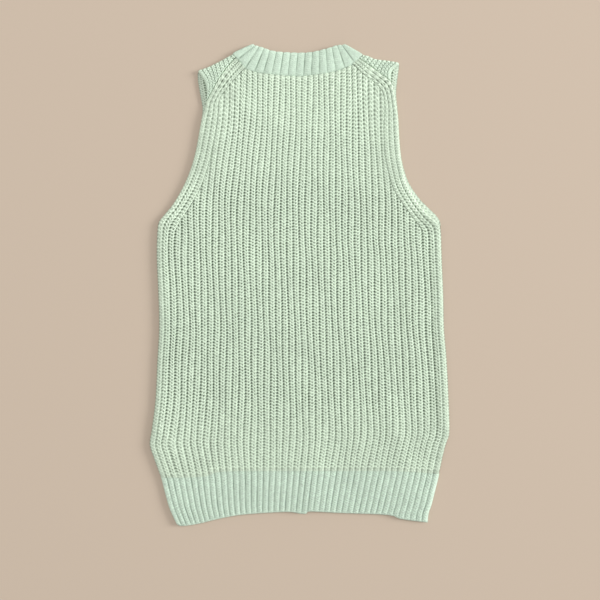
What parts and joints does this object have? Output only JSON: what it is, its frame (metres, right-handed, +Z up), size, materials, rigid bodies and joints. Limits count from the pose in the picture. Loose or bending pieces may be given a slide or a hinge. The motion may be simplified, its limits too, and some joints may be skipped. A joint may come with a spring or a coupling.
{
  "type": "knitted sweater vest",
  "caption": "Sleeveless ribbed-knit vest laid flat, back uppermost, with ribbed crew neckband, overlapped shoulders, side slits and rib hem.",
  "frame": {"origin": "centre of the garment's bounding box, on the surface it lies on", "axes": "+X across the garment to the right as seen from above, +Y from the hem towards the neck, +Z up from the surface"},
  "size_m": [0.4428, 0.7124, 0.0087],
  "materials": {
    "panel_knit": "matte soft cotton yarn in chunky fisherman's rib",
    "hem_rib_knit": "matte soft cotton yarn in close single rib",
    "neckband_knit": "matte soft cotton yarn in smooth doubled rib"
  },
  "bodies": {
    "root": {"front_panel": "panel_knit", "back_panel": "panel_knit", "front_hem_rib": "hem_rib_knit", "back_hem_rib": "hem_rib_knit", "neckband": "neckband_knit"}
  },
  "joints": []
}
